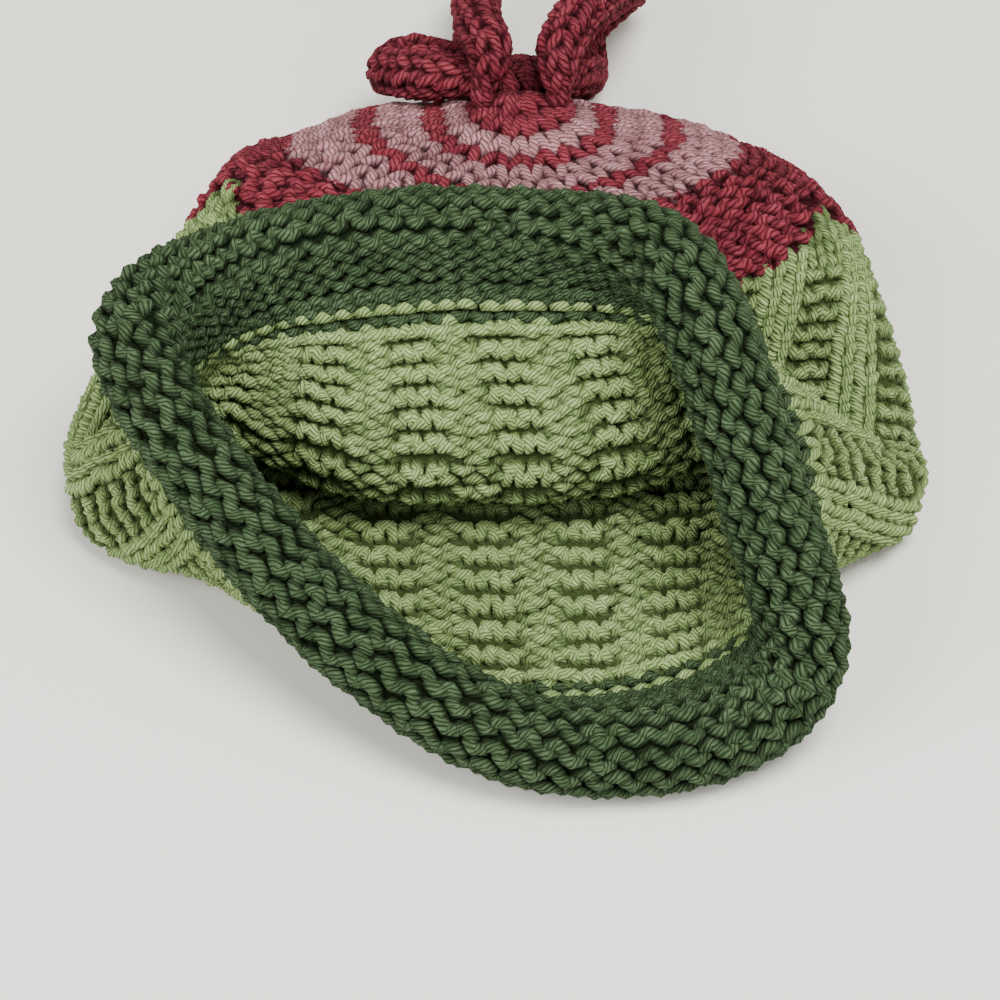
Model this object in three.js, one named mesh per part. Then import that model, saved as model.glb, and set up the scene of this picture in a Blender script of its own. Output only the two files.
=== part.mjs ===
// Hand-knitted baby beanie lying on its side, mouth open towards the front and crown at the back.
//
// Millimetres, +Z up. The hat rests on z = 0, the mouth looks towards -Y and the crown towards +Y.
// The wall is one knitted tube. A point on its middle surface has two coordinates:
//   column  how far round the tube, 0 at the bottom, then right, top, left, in COLUMNS steps
//   along   millimetres of knitting from the tip of the crown
// Each change of yarn is a piece of its own, cut from that tube as a closed wall.
import * as THREE from 'three';

// Driving dimensions
const WALL = 4.4; // thickness of the knitting
const GAP = 0.3; // clearance between pieces that are knitted together
const COLUMNS = 48; // steps round the tube
const RING_SAMPLES = 180; // points along a quarter of a section, from which its columns are spaced evenly
const CENTRE = new THREE.Vector3(-0.62, 35.18, 0); // middle of the hat's footprint, moved to the origin
const NORMAL_STEP = 2.8; // reach along the knitting over which the outward direction is measured

const TIP_RADIUS = 11; // dark red centre of the crown
const RING_WIDTH = 3.2; // one round of stitches
const RING_INNER = 18; // middle of each dark red round, along the knitting
const RING_OUTER = 31;
const BAND_START = 44;
const BODY_START = 66; // middle of the zigzag between the crown band and the body
const BODY_END = 178; // colour change at the brim
const BRIM_EDGE = 200; // where the outward roll begins
const ROLL_RADIUS = 6.5; // middle of the rolled wall
const ROLL_TURN = THREE.MathUtils.degToRad(270);
const BRIM_STEPS = 5; // rows of faces between the colour change and the roll
const ROLL_STEPS = 8; // rows of faces round the roll
const ZIGZAG_POINTS = 8; // decrease lines of the crown
const ZIGZAG_DEPTH = 12;

const CORD_RADIUS = 5.5; // knitted cord of the loops on the crown
const CORD_FOOT_RADIUS = 2.5; // where its ends are sewn on
const CORD_TAPER = 14; // length over which the cord reaches its full radius
const CORD_SIDES = 8;
const CORD_STEPS = 22;
const FOOT_ALONG = 7; // distance of the cord ends from the tip of the crown
const FOOT_GAP = 0.45;
const FOOT_RISE = 2; // straight stretch above each end

// Cross sections of the tube, from the tip of the crown to the colour change. Each one goes round through
// the four given points, and square below 1 turns its rounded outline towards a rectangle. Where square is a
// pair, it holds one value for the right side and one for the left.
const SECTIONS = [
  { name: 'tip', along: 0, bottom: [4.5, 87, 28.5], top: [4.5, 87, 28.5], right: [4.5, 87, 28.5],
    left: [4.5, 87, 28.5], square: 1 },
  { name: 'ring 1', along: 18, bottom: [4, 96, 13], top: [4, 63.5, 30.5], right: [22, 82, 25],
    left: [-14, 83, 25], square: 0.5 },
  { name: 'ring 2', along: 31, bottom: [4, 95, 4], top: [4, 48.5, 35], right: [36, 78, 26],
    left: [-28, 81, 26], square: 0.42 },
  { name: 'edge', along: 44, bottom: [4, 85, 2.2], top: [4, 38, 38], right: [49, 72, 27],
    left: [-43, 70.5, 29.5], square: 0.4 },
  { name: 'shoulder', along: 55, bottom: [4, 75, 2.2], top: [4, 29, 40], right: [62, 64, 26],
    left: [-53, 66.5, 29.5], square: 0.45 },
  { name: 'rim', along: 66, bottom: [4, 64, 2.2], top: [4, 23, 40], right: [70.5, 53, 22],
    left: [-59.5, 57.5, 25], square: 0.55 },
  { name: 'mid', along: 98, bottom: [3, 30, 2.2], top: [3, 15, 23], right: [78.5, 26, 14],
    left: [-76, 28, 14], square: 0.6 },
  { name: 'under fold', along: 124, bottom: [2, 3, 2.2], top: [0, -3, 13.8], right: [82, 4, 8.2],
    left: [-83, 4.5, 9], square: 0.45 },
  { name: 'fold', along: 132.5, bottom: [2, -6, 2.2], top: [0, -12, 17], right: [82.7, -3, 9],
    left: [-82.7, -3.5, 9], square: 0.45 },
  { name: 'over fold', along: 141, bottom: [2, -15, 2.2], top: [0, -9, 25.5], right: [79, -12.8, 12.6],
    left: [-81, -15, 12.3], square: 0.55 },
  { name: 'colour', along: BODY_END, bottom: [5, -51, 2.2], top: [-6, 9.4, 45], right: [58, -21, 30],
    left: [-64.5, -14, 31], square: [0.8, 1.1] },
];

// The last section is the leaning oval of the mouth, an eighth of the stitches between rows.
const BRIM = [
  { name: 'front', point: [8, -61.5, 14] },
  { name: 'front right', point: [46, -57, 18] },
  { name: 'right', point: [44.3, -30.5, 36] },
  { name: 'back right', point: [27, 7, 53.5] },
  { name: 'back', point: [-8.5, 17.5, 56.5] },
  { name: 'back left', point: [-47.5, 12, 54] },
  { name: 'left', point: [-60.2, -8.5, 48.5] },
  { name: 'front left', point: [-32, -40, 25.3] },
];

// Ears that the folded wall pushes up at both sides, as soft bumps.
// round is the share of the way round, along is in millimetres, and the half widths match.
const FOLDS = [
  { name: 'right ear', round: 0.337, along: 146, halfRound: 0.136, halfAlong: 66, shift: [-2, 13, -4] },
  { name: 'left ear', round: 0.68, along: 142, halfRound: 0.122, halfAlong: 58, shift: [-1.5, 15, -1] },
];

// Loops of knitted cord. The feet are columns round the tip of the crown, the points lie on the cord's axis.
const LOOPS = [
  { name: 'loop_left', feet: [39, 45],
    points: [[-11, 91, 30], [-16.5, 94.5, 28], [-20.5, 98, 25.2], [-24, 103, 21.8],
      [-20, 109, 20], [-14.5, 108, 20], [-9.5, 104.5, 21.5], [-4.5, 99.5, 24.5]] },
  { name: 'loop_middle', feet: [33, 3],
    points: [[-2, 88.5, 39], [-4, 96, 39.5], [-5, 105.5, 36], [-5, 117, 31], [-5, 129, 23.5],
      [-5, 141.4, 13.3], [-5.5, 134.5, 6.2], [-5, 122, 6.4], [-1, 113, 10], [5.2, 106, 17]] },
  { name: 'loop_right', feet: [15, 9],
    points: [[12, 88.5, 38], [14, 95.5, 39], [17.5, 104, 37], [22, 115, 31.5], [27, 128, 24],
      [28, 141, 12], [19.5, 135, 6.2], [19, 122, 6.4], [18, 112, 12], [17, 104, 21]] },
];

// Yarns, all matt.
const YARNS = {
  darkGreen: yarn('dark_green_yarn', 0x3a5c3e),
  lightGreen: yarn('light_green_yarn', 0x96af69),
  darkRed: yarn('dark_red_yarn', 0x8c2d3c),
  pink: yarn('pink_yarn', 0xaf787d),
};

function yarn(name, color) {
  return new THREE.MeshStandardMaterial({ name, color, roughness: 0.95, metalness: 0 });
}

const vector = (row) => new THREE.Vector3(...row);

// Points spaced evenly along a run of points, the last one left off.
function evenly(points, count) {
  const curve = new THREE.CurvePath();
  points.slice(1).forEach((point, i) => curve.add(new THREE.LineCurve3(points[i], point)));
  if (curve.getLength() === 0) return Array.from({ length: count }, () => points[0].clone());
  return Array.from({ length: count }, (_, i) => curve.getPointAt(i / count));
}

// One ring of the tube from a row of SECTIONS: a superellipse between bottom and top whose sides lean
// towards the right and left points. Each quarter holds the same number of columns.
function sectionRing(section) {
  const bottom = vector(section.bottom);
  const top = vector(section.top);
  const middle = bottom.clone().add(top).divideScalar(2);
  const half = top.clone().sub(middle);
  const ring = [];
  for (let quarter = 0; quarter < 4; quarter += 1) {
    const side = vector(quarter < 2 ? section.right : section.left).sub(middle);
    const square = [section.square].flat().at(quarter < 2 ? 0 : -1);
    const points = [];
    for (let i = 0; i <= RING_SAMPLES; i += 1) {
      const angle = (quarter + i / RING_SAMPLES) * Math.PI / 2;
      const up = -Math.sign(Math.cos(angle)) * Math.abs(Math.cos(angle)) ** square;
      const out = Math.abs(Math.sin(angle)) ** square;
      const point = middle.clone().addScaledVector(half, up);
      points.push(point.add(new THREE.Vector3(side.x * out, side.y * out * out, side.z * out * out)));
    }
    ring.push(...evenly(points, COLUMNS / 4));
  }
  return ring;
}

// The mouth's ring: a closed curve through the rows of BRIM.
function brimRing() {
  const curve = new THREE.CatmullRomCurve3(BRIM.map((row) => vector(row.point)), true, 'catmullrom', 0.5);
  return Array.from({ length: COLUMNS }, (_, column) => curve.getPoint(column / COLUMNS));
}

const STATIONS = [...SECTIONS.map((section) => section.along), BRIM_EDGE];
const RINGS = [...SECTIONS.map(sectionRing), brimRing()];

// Direction in which a wale leaves a section, from the sections on either side.
function slope(station, column) {
  const before = Math.max(station - 1, 0);
  const after = Math.min(station + 1, STATIONS.length - 1);
  const change = RINGS[after][column].clone().sub(RINGS[before][column]);
  return change.divideScalar(STATIONS[after] - STATIONS[before]);
}

// How strongly a soft bump acts at a distance from its middle.
const bump = (distance, half) => (1 + Math.cos(Math.PI * Math.min(1, Math.abs(distance) / half))) / 2;

// Middle surface of the wall: the wale through all sections at this column, moved by the folds
// and kept on the table.
function middleSurface(column, along) {
  const wale = (column + COLUMNS) % COLUMNS;
  const place = THREE.MathUtils.clamp(along, 0, BRIM_EDGE);
  let station = 0;
  while (station < STATIONS.length - 2 && place >= STATIONS[station + 1]) station += 1;
  const length = STATIONS[station + 1] - STATIONS[station];
  const t = (place - STATIONS[station]) / length;
  const point = new THREE.Vector3();
  point.addScaledVector(RINGS[station][wale], 2 * t ** 3 - 3 * t ** 2 + 1);
  point.addScaledVector(slope(station, wale), (t ** 3 - 2 * t ** 2 + t) * length);
  point.addScaledVector(RINGS[station + 1][wale], 3 * t ** 2 - 2 * t ** 3);
  point.addScaledVector(slope(station + 1, wale), (t ** 3 - t ** 2) * length);
  for (const fold of FOLDS) {
    const weightRound = bump(wale / COLUMNS - fold.round, fold.halfRound);
    const weightAlong = bump(place - fold.along, fold.halfAlong);
    point.addScaledVector(vector(fold.shift), weightRound * weightAlong);
  }
  point.z = Math.max(point.z, WALL / 2);
  return point;
}

// Direction of the knitting towards the brim.
function alongDirection(column, along) {
  const ahead = middleSurface(column, along + NORMAL_STEP);
  return ahead.sub(middleSurface(column, along - NORMAL_STEP)).normalize();
}

// Direction out of the hat.
function outward(column, along) {
  const safe = Math.max(along, NORMAL_STEP / 2);
  const round = middleSurface(column + 1, safe).sub(middleSurface(column - 1, safe));
  return round.cross(alongDirection(column, safe)).normalize();
}

// A point at a height above the middle surface: half a wall out is the outside, half a wall in the inside.
function onWall(column, along, height) {
  return middleSurface(column, along).addScaledVector(outward(column, along), height);
}

// A point of the outward roll that continues the wall past the brim's edge, by its angle round the roll.
function onRoll(column, angle, height) {
  const out = outward(column, BRIM_EDGE);
  const ahead = alongDirection(column, BRIM_EDGE);
  const centre = onWall(column, BRIM_EDGE, ROLL_RADIUS);
  const radius = ROLL_RADIUS - height;
  centre.addScaledVector(out, -radius * Math.cos(angle));
  return centre.addScaledVector(ahead, radius * Math.sin(angle));
}

// Edge of the dark red band: points towards the brim at whole turns of the zigzag.
function zigzag(column) {
  const turn = column * ZIGZAG_POINTS / COLUMNS;
  const fromPoint = Math.abs(turn - Math.round(turn));
  return BODY_START + ZIGZAG_DEPTH * (0.5 - 2 * fromPoint);
}

// Closed mesh from loops of points, each loop joined to the next one.
// Where ends is 'joined' the last loop meets the first, and where it is 'capped' both ends close in a point.
// The closing strip is split along its other diagonal, so that the edges of two neighbours stay parallel.
function skin(loops, ends, capPoints) {
  const size = loops[0].length;
  const positions = loops.flat().flatMap((point) => point.clone().sub(CENTRE).toArray());
  const index = [];
  const joins = ends === 'joined' ? loops.length : loops.length - 1;
  for (let i = 0; i < joins; i += 1) {
    const here = i * size;
    const next = ((i + 1) % loops.length) * size;
    const closing = i === loops.length - 1;
    for (let k = 0; k < size; k += 1) {
      const after = (k + 1) % size;
      if (closing) index.push(here + k, here + after, next + after, here + k, next + after, next + k);
      else index.push(here + k, here + after, next + k, here + after, next + after, next + k);
    }
  }
  if (ends === 'capped') {
    const last = (loops.length - 1) * size;
    const firstCap = loops.length * size;
    capPoints.forEach((point) => positions.push(...point.clone().sub(CENTRE).toArray()));
    for (let k = 0; k < size; k += 1) {
      const after = (k + 1) % size;
      index.push(firstCap, after, k, firstCap + 1, last + k, last + after);
    }
  }
  const geometry = new THREE.BufferGeometry();
  geometry.setAttribute('position', new THREE.Float32BufferAttribute(positions, 3));
  geometry.setIndex(index);
  geometry.computeVertexNormals();
  return geometry;
}

// All columns of one row of knitting.
const row = (pointAt) => Array.from({ length: COLUMNS }, (_, column) => pointAt(column));

// Rows of one face of the wall between two edges that may differ from column to column.
function faceRows(start, end, steps, height) {
  return Array.from({ length: steps + 1 }, (_, i) => row((column) => {
    const along = THREE.MathUtils.lerp(start(column), end(column), i / steps);
    return onWall(column, along, height);
  }));
}

const level = (along) => () => along;

// A closed ring of wall: its outside from start to end, then its inside back.
function wallPiece({ name, material, start, end, steps }) {
  const first = (column) => start(column) + GAP / 2;
  const last = (column) => end(column) - GAP / 2;
  const outside = faceRows(first, last, steps, WALL / 2);
  const inside = faceRows(first, last, steps, -WALL / 2);
  return named(name, skin([...outside, ...inside.reverse()], 'joined'), material);
}

// The closed disc in the middle of the crown.
function tipPiece(name, material) {
  const end = TIP_RADIUS - GAP / 2;
  const outside = row((column) => onWall(column, end, WALL / 2));
  const inside = row((column) => onWall(column, end, -WALL / 2));
  const poles = [onWall(0, 0, WALL / 2), onWall(0, 0, -WALL / 2)];
  return named(name, skin([outside, inside], 'capped', poles), material);
}

// The brim: the wall from the colour change to the mouth and the roll that continues it, one closed ring.
function brimPiece(name, material) {
  const start = level(BODY_END + GAP / 2);
  const face = (height) => {
    const rows = faceRows(start, level(BRIM_EDGE), BRIM_STEPS, height);
    for (let i = 1; i <= ROLL_STEPS; i += 1) {
      rows.push(row((column) => onRoll(column, ROLL_TURN * i / ROLL_STEPS, height)));
    }
    return rows;
  };
  return named(name, skin([...face(WALL / 2), ...face(-WALL / 2).reverse()], 'joined'), material);
}

// A loop of cord from one foot on the crown to the other, thinner where it is sewn on.
function loopPiece(loop, material) {
  const feet = loop.feet.map((column) => onWall(column, FOOT_ALONG, WALL / 2 + FOOT_GAP));
  const knees = loop.feet.map((column) => onWall(column, FOOT_ALONG, WALL / 2 + FOOT_GAP + FOOT_RISE));
  const path = [feet[0], knees[0], ...loop.points.map(vector), knees[1], feet[1]];
  const curve = new THREE.CatmullRomCurve3(path, false, 'centripetal');
  const frames = curve.computeFrenetFrames(CORD_STEPS, false);
  const length = curve.getLength();
  const loops = [];
  for (let i = 0; i <= CORD_STEPS; i += 1) {
    const fromEnd = Math.min(i, CORD_STEPS - i) / CORD_STEPS * length;
    const grown = THREE.MathUtils.smoothstep(fromEnd, 0, CORD_TAPER);
    const radius = THREE.MathUtils.lerp(CORD_FOOT_RADIUS, CORD_RADIUS, grown);
    const centre = curve.getPointAt(i / CORD_STEPS);
    loops.push(Array.from({ length: CORD_SIDES }, (_, k) => {
      const angle = 2 * Math.PI * k / CORD_SIDES;
      const spoke = frames.normals[i].clone().multiplyScalar(Math.cos(angle) * radius);
      return spoke.addScaledVector(frames.binormals[i], Math.sin(angle) * radius).add(centre);
    }));
  }
  return named(loop.name, skin(loops, 'capped', feet), material);
}

function named(name, geometry, material) {
  const mesh = new THREE.Mesh(geometry, material);
  mesh.name = name;
  return mesh;
}

// Rings of wall from the brim's colour change to the tip, with the rows of faces along each.
const innerRing = { from: level(RING_INNER - RING_WIDTH / 2), to: level(RING_INNER + RING_WIDTH / 2) };
const outerRing = { from: level(RING_OUTER - RING_WIDTH / 2), to: level(RING_OUTER + RING_WIDTH / 2) };
const { lightGreen, darkGreen, darkRed, pink } = YARNS;
const WALL_PIECES = [
  { name: 'body', material: lightGreen, start: zigzag, end: level(BODY_END), steps: 20 },
  { name: 'crown_band', material: darkRed, start: level(BAND_START), end: zigzag, steps: 3 },
  { name: 'crown_outer', material: pink, start: outerRing.to, end: level(BAND_START), steps: 2 },
  { name: 'ring_outer', material: darkRed, start: outerRing.from, end: outerRing.to, steps: 1 },
  { name: 'crown_middle', material: pink, start: innerRing.to, end: outerRing.from, steps: 2 },
  { name: 'ring_inner', material: darkRed, start: innerRing.from, end: innerRing.to, steps: 1 },
  { name: 'crown_inner', material: pink, start: level(TIP_RADIUS), end: innerRing.from, steps: 1 },
];

const beanie = new THREE.Group();
beanie.name = 'beanie';
beanie.add(brimPiece('brim', darkGreen));
WALL_PIECES.forEach((piece) => beanie.add(wallPiece(piece)));
beanie.add(tipPiece('crown_tip', darkRed));
LOOPS.forEach((loop) => beanie.add(loopPiece(loop, darkRed)));

export default beanie;
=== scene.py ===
# %% [markdown]
# # A hand-knitted baby beanie, stitch by stitch
#
# The hat lies on a table with its mouth open towards us. A knitted hat has no smooth skin: what we see is
# yarn. One could paint stitches on a smooth wall with bump, but at this distance each stitch is many pixels
# wide and the outline itself is bumpy. So this lesson lays real yarn: every round of knitting is one closed
# tube that loops through the round before it. First comes a smooth middle surface of the wall, then yarn is
# laid on it.

# %% Load the frame
import bpy
import numpy as np
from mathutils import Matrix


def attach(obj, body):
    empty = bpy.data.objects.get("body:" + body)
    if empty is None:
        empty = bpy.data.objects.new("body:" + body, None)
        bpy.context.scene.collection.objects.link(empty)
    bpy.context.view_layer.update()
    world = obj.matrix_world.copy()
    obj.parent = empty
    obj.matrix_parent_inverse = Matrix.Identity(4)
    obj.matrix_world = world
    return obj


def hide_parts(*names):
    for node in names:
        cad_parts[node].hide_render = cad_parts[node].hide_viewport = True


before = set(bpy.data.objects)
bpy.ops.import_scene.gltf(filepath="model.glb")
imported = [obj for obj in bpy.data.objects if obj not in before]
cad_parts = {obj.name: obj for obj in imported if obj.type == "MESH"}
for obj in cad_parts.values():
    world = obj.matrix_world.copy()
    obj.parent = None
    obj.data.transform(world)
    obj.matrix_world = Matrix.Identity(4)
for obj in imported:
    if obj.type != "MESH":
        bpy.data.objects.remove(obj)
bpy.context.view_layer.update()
print("solids:", sorted(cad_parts))

# %% [markdown]
# ## Camera, floor and light
#
# The photograph looks down at the hat from a steep angle with a fairly long lens. A camera can be aimed with
# a constraint, but here its place follows from an elevation and a distance, so it is worked out directly. The
# floor is a plain pale sheet. Wide soft lamps give the gentle shading that knitting needs: hard light would
# turn every stitch into a speckle.

# %% Camera
MM = 0.001
CENTRE = np.array([-0.62, 35.18, 0.0])      # middle of the hat's footprint, which is the frame's origin
VIEW_ELEVATION = np.radians(50.0)
VIEW_DISTANCE = 606.0                       # from the point in the middle of the picture, on the floor
VIEW_LENS = 109.1                           # millimetres
VIEW_SENSOR = 36.0                          # width of the sensor, millimetres
VIEW_NEAREST = 0.01                         # metres


def make_camera():
    """Camera on a circle above the floor point that lies in the middle of the picture."""
    data = bpy.data.cameras.new("camera")
    data.lens = VIEW_LENS
    data.sensor_width = VIEW_SENSOR
    data.clip_start = VIEW_NEAREST
    camera = bpy.data.objects.new("camera", data)
    offset = VIEW_DISTANCE * np.array([0.0, -np.cos(VIEW_ELEVATION), np.sin(VIEW_ELEVATION)])
    camera.location = (offset - CENTRE) * MM
    camera.rotation_euler = (np.pi / 2 - VIEW_ELEVATION, 0.0, 0.0)
    bpy.context.collection.objects.link(camera)
    bpy.context.scene.camera = camera
    return camera


print("camera at", tuple(round(c, 3) for c in make_camera().location))

# %% Floor and lamps
FLOOR_SIZE = 6.0                            # metres
FLOOR_COLOUR = (0.80, 0.785, 0.74, 1.0)
FLOOR_ROUGHNESS = 0.9
LAMPS = [
    # name, place in metres, size, power in watts, colour
    ("window", (0.25, -0.30, 1.20), 0.6, 25.0, (1.0, 0.985, 0.955)),
    ("room", (0.9, -0.6, 0.8), 0.9, 6.0, (1.0, 0.98, 0.95)),
    ("front", (-0.8, -0.6, 0.8), 0.9, 17.0, (1.0, 0.985, 0.96)),
]
SKY_COLOUR = (1.0, 0.985, 0.955, 1.0)
SKY_STRENGTH = 0.33


def make_floor():
    """A flat pale sheet on z = 0 with a matt finish."""
    half = FLOOR_SIZE / 2
    mesh = bpy.data.meshes.new("floor")
    corners = [(-half, -half, 0), (half, -half, 0), (half, half, 0), (-half, half, 0)]
    mesh.from_pydata(corners, [], [(0, 1, 2, 3)])
    floor = bpy.data.objects.new("floor", mesh)
    material = bpy.data.materials.new("pale floor")
    material.use_nodes = True
    shader = material.node_tree.nodes["Principled BSDF"]
    shader.inputs["Base Color"].default_value = FLOOR_COLOUR
    shader.inputs["Roughness"].default_value = FLOOR_ROUGHNESS
    mesh.materials.append(material)
    bpy.context.collection.objects.link(floor)


def make_lamps():
    """Area lamps that all look at the hat, and an even sky."""
    for name, place, size, power, colour in LAMPS:
        data = bpy.data.lights.new(name, "AREA")
        data.shape = "DISK"
        data.size = size
        data.energy = power
        data.color = colour
        lamp = bpy.data.objects.new(name, data)
        lamp.location = place
        direction = -np.array(place)
        yaw = np.arctan2(direction[1], direction[0])
        pitch = np.arccos(-direction[2] / np.linalg.norm(direction))
        lamp.rotation_euler = (pitch, 0.0, yaw - np.pi / 2)
        bpy.context.collection.objects.link(lamp)
    world = bpy.data.worlds.new("sky")
    world.use_nodes = True
    background = world.node_tree.nodes["Background"]
    background.inputs["Color"].default_value = SKY_COLOUR
    background.inputs["Strength"].default_value = SKY_STRENGTH
    bpy.context.scene.world = world


make_floor()
make_lamps()
print("lamps:", len(LAMPS))

# %% [markdown]
# ## The middle surface of the wall
#
# The hat is one tube of knitting. A place on it has two coordinates: how far round it is, from 0 to 1
# starting at the bottom and turning to the right, and how many millimetres of knitting lie between it and the
# tip of the crown. A cloth simulation could drop a straight tube on the table, but the folds would land where
# they like. So the tube is lofted through a few measured sections, and two soft bumps make the ears beside
# the fold.

# %% Sections of the tube
WALL = 4.4                                  # thickness of the knitting, millimetres
BRIM_EDGE = 200.0                           # where the outward roll begins
ROLL_RADIUS = 6.5
ROLL_TURN = np.radians(270.0)
SECTIONS = [
    # name, along, bottom, top, right, left, square: one value, or one for the right side and one for the left
    ("tip", 0.0, (4.5, 87, 28.5), (4.5, 87, 28.5), (4.5, 87, 28.5), (4.5, 87, 28.5), 1.0),
    ("ring 1", 18.0, (4, 96, 13), (4, 63.5, 30.5), (22, 82, 25), (-14, 83, 25), 0.5),
    ("ring 2", 31.0, (4, 95, 4), (4, 48.5, 35), (36, 78, 26), (-28, 81, 26), 0.42),
    ("edge", 44.0, (4, 85, 2.2), (4, 38, 38), (49, 72, 27), (-43, 70.5, 29.5), 0.4),
    ("shoulder", 55.0, (4, 75, 2.2), (4, 29, 40), (62, 64, 26), (-53, 66.5, 29.5), 0.45),
    ("rim", 66.0, (4, 64, 2.2), (4, 23, 40), (70.5, 53, 22), (-59.5, 57.5, 25), 0.55),
    ("mid", 98.0, (3, 30, 2.2), (3, 15, 23), (78.5, 26, 14), (-76, 28, 14), 0.6),
    ("under fold", 124.0, (2, 3, 2.2), (0, -3, 13.8), (82, 4, 8.2), (-83, 4.5, 9), 0.45),
    ("fold", 132.5, (2, -6, 2.2), (0, -12, 17), (82.7, -3, 9), (-82.7, -3.5, 9), 0.45),
    ("over fold", 141.0, (2, -15, 2.2), (0, -9, 25.5), (79, -12.8, 12.6), (-81, -15, 12.3), 0.55),
    ("colour", 178.0, (5, -51, 2.2), (-6, 9.4, 45), (58, -21, 30), (-64.5, -14, 31), (0.8, 1.1)),
]
BRIM = [
    # name, x, y, z
    ("front", 8, -61.5, 14),
    ("front right", 46, -57, 18),
    ("right", 44.3, -30.5, 36),
    ("back right", 27, 7, 53.5),
    ("back", -8.5, 17.5, 56.5),
    ("back left", -47.5, 12, 54),
    ("left", -60.2, -8.5, 48.5),
    ("front left", -32, -40, 25.3),
]
FOLDS = [
    # name, round, along, half width round, half width along, shift
    ("right ear", 0.337, 146.0, 0.136, 66.0, (-2, 13, -4)),
    ("left ear", 0.68, 142.0, 0.122, 58.0, (-1.5, 15, -1)),
]
COLUMNS = 144                               # grid steps round the tube
ROW_STEP = 1.0                              # grid steps along the knitting, millimetres
QUARTER_SAMPLES = 361                       # points that measure a quarter of a ring
SLOPE_REACH = 3                             # grid steps to either side that give the outward direction
TINY = 1e-9                                 # keeps a division from zero


def section_ring(section):
    """One ring: a superellipse from bottom to top whose sides lean out to the right and left points.

    Point = middle - half height * cos^square + side * sin^square; each quarter gets evenly spaced columns."""
    bottom, top, right, left = (np.array(p, float) for p in section[2:6])
    middle, half = (bottom + top) / 2, (top - bottom) / 2
    quarters = []
    for quarter in range(4):
        angle = np.linspace(quarter, quarter + 1, QUARTER_SAMPLES) * np.pi / 2
        square = np.broadcast_to(section[6], 2)[quarter // 2]
        up = -np.sign(np.cos(angle)) * np.abs(np.cos(angle)) ** square
        out = np.abs(np.sin(angle)) ** square
        side = (right if quarter < 2 else left) - middle
        points = middle + half * up[:, None] + side * np.stack([out, out ** 2, out ** 2], -1)
        length = np.r_[0, np.cumsum(np.linalg.norm(np.diff(points, axis=0), axis=1))]
        wanted = length[-1] * np.arange(COLUMNS // 4) / (COLUMNS // 4)
        quarters.append(np.stack([np.interp(wanted, length, points[:, axis]) for axis in range(3)], -1))
    return np.vstack(quarters)


def closed_curve(points, count):
    """Catmull-Rom curve through a closed row of points, the same number of steps between every two."""
    points = np.array(points, float)
    place = np.arange(count) * len(points) / count
    first = place.astype(int)
    t = (place - first)[:, None]
    a, b, c, d = (points[(first + step) % len(points)] for step in (-1, 0, 1, 2))
    return b + 0.5 * t * (c - a + t * (2 * a - 5 * b + 4 * c - d + t * (3 * (b - c) + d - a)))


def soft_bump(distance, half):
    """One at the middle, falling as a cosine to nothing at the half width."""
    return 0.5 + 0.5 * np.cos(np.pi * np.clip(np.abs(distance) / half, 0, 1))


def wall_grid():
    """Middle surface from the tip to the brim's edge: a cubic through all rings, plus the folds.

    Grid = Hermite(rings, slopes) + sum of fold shift * bump round * bump along, kept on the table."""
    stations = np.array([section[1] for section in SECTIONS] + [BRIM_EDGE])
    rings = np.array([section_ring(s) for s in SECTIONS] + [closed_curve([row[1:] for row in BRIM], COLUMNS)])
    before = np.maximum(np.arange(len(stations)) - 1, 0)
    after = np.minimum(np.arange(len(stations)) + 1, len(stations) - 1)
    slopes = (rings[after] - rings[before]) / (stations[after] - stations[before])[:, None, None]
    along = np.arange(0, BRIM_EDGE + ROW_STEP / 2, ROW_STEP)
    k = np.clip(np.searchsorted(stations, along, side="right") - 1, 0, len(stations) - 2)
    length = (stations[k + 1] - stations[k])[:, None, None]
    t = (along - stations[k])[:, None, None] / length
    grid = ((2 * t**3 - 3 * t**2 + 1) * rings[k] + (t**3 - 2 * t**2 + t) * length * slopes[k]
            + (3 * t**2 - 2 * t**3) * rings[k + 1] + (t**3 - t**2) * length * slopes[k + 1])
    turn = np.arange(COLUMNS) / COLUMNS
    for _, round_at, along_at, half_round, half_along, shift in FOLDS:
        weight = np.outer(soft_bump(along - along_at, half_along), soft_bump(turn - round_at, half_round))
        grid = grid + weight[..., None] * np.array(shift, float)
    grid[..., 2] = np.maximum(grid[..., 2], WALL / 2)
    return grid


def outward_of(grid, reach):
    """Unit directions out of the hat and along it, from differences over some grid steps: round x along."""
    across = np.roll(grid, -reach, 1) - np.roll(grid, reach, 1)
    row = np.arange(len(grid))
    ahead = grid[np.minimum(row + reach, len(grid) - 1)] - grid[np.maximum(row - reach, 0)]
    out = np.cross(across, ahead)
    out[0] = out[reach].mean(0)
    ahead = ahead / np.maximum(np.linalg.norm(ahead, axis=2, keepdims=True), TINY)
    return out / np.maximum(np.linalg.norm(out, axis=2, keepdims=True), TINY), ahead


wall = wall_grid()
wall_out, wall_ahead = outward_of(wall, SLOPE_REACH)
print("wall grid", wall.shape, "lowest", round(float(wall[..., 2].min()), 2))

# %% [markdown]
# Past the brim's edge the wall goes on as a roll: stockinette always curls towards its knit side. Its section
# is three quarters of a circle that starts in the direction of the wall, so the grid simply gets more rows.

# %% The roll
roll_angle = np.arange(ROW_STEP, ROLL_TURN * ROLL_RADIUS, ROW_STEP)[:, None, None] / ROLL_RADIUS
edge_out, edge_ahead = wall_out[-1], wall_ahead[-1]
roll_centre = wall[-1] + ROLL_RADIUS * edge_out
roll_out = edge_out * np.cos(roll_angle) - edge_ahead * np.sin(roll_angle)
hat = np.concatenate([wall, roll_centre - ROLL_RADIUS * roll_out]) - CENTRE
hat_out = np.concatenate([wall_out, roll_out])
HAT_END = (len(hat) - 1) * ROW_STEP
print("hat grid", hat.shape, "knitting ends at", HAT_END)


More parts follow.
